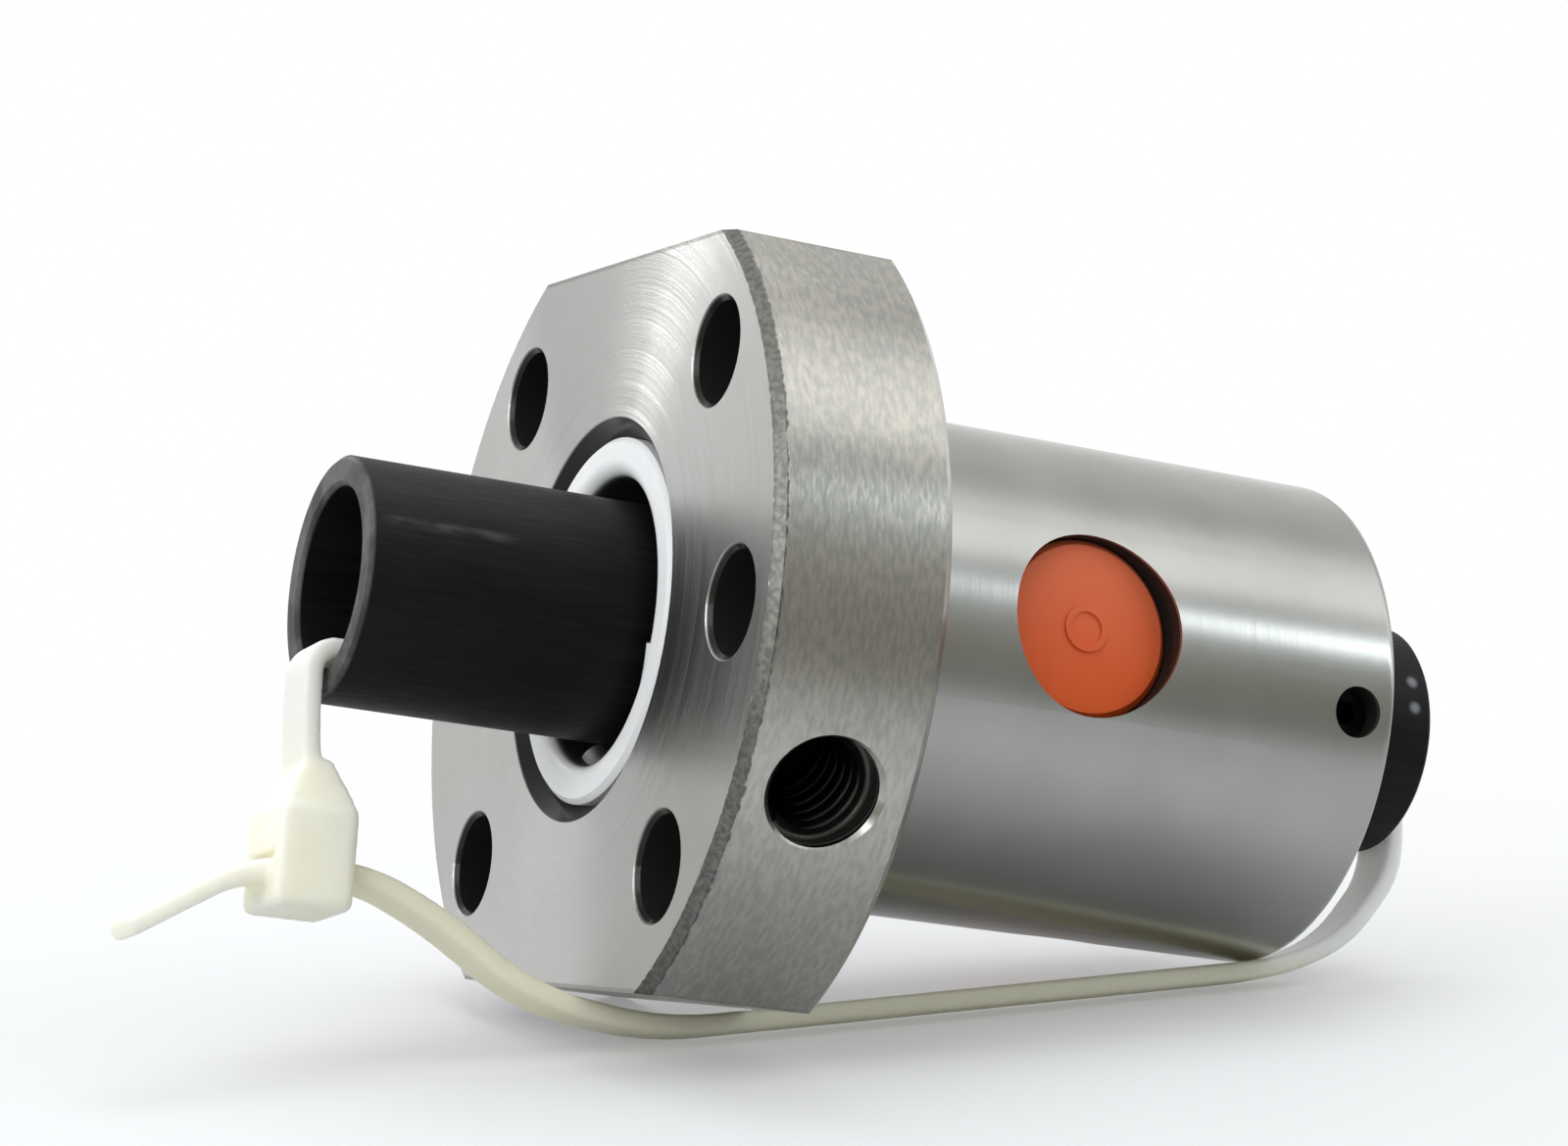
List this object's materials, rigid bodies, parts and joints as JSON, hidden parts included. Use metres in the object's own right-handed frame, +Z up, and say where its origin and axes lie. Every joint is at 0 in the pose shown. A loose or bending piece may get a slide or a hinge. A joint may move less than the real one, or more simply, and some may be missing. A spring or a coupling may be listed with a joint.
{
  "type": "ball screw nut",
  "caption": "Flanged ball screw nut with flats, ball circuits, return caps and wipers, kept on a plain arbor tube by a cable tie.",
  "frame": {"origin": "centre of the bolt circle, in the plane of the flange's mounting face", "axes": "+Z up from the table that the nut rests on; +X along the nut, level, from the flange towards the body's tail, which lies lower; the nut's own axis dips about 11 degrees below +X"},
  "size_m": [0.0785, 0.048, 0.0438],
  "materials": {
    "ground_steel": "turned, ground and brushed, with a fine lay",
    "cap_plastic": "moulded, satin, orange",
    "wiper_nylon": "moulded, satin, white",
    "ball_steel": "lapped bearing steel",
    "black_oxide": "black oxide",
    "tube_plastic": "extruded, dull black",
    "tie_nylon": "natural nylon, slightly translucent"
  },
  "bodies": {
    "nut": {"nut_body": "ground_steel", "front_wiper": "wiper_nylon", "rear_wiper": "wiper_nylon", "wiper_set_screw": "black_oxide", "cable_tie": "tie_nylon", "return_cap_1": "cap_plastic", "ball_circuit_1": "ball_steel", "return_cap_2": "cap_plastic", "ball_circuit_2": "ball_steel", "return_cap_3": "cap_plastic", "ball_circuit_3": "ball_steel"},
    "arbor": {"arbor_tube": "tube_plastic"}
  },
  "joints": [
    {"name": "arbor_spin", "type": "hinge", "parent": "nut", "child": "arbor", "pos_m": [0, 0, 0], "axis": [0.9821, 0, -0.1882], "continuous": true}
  ]
}
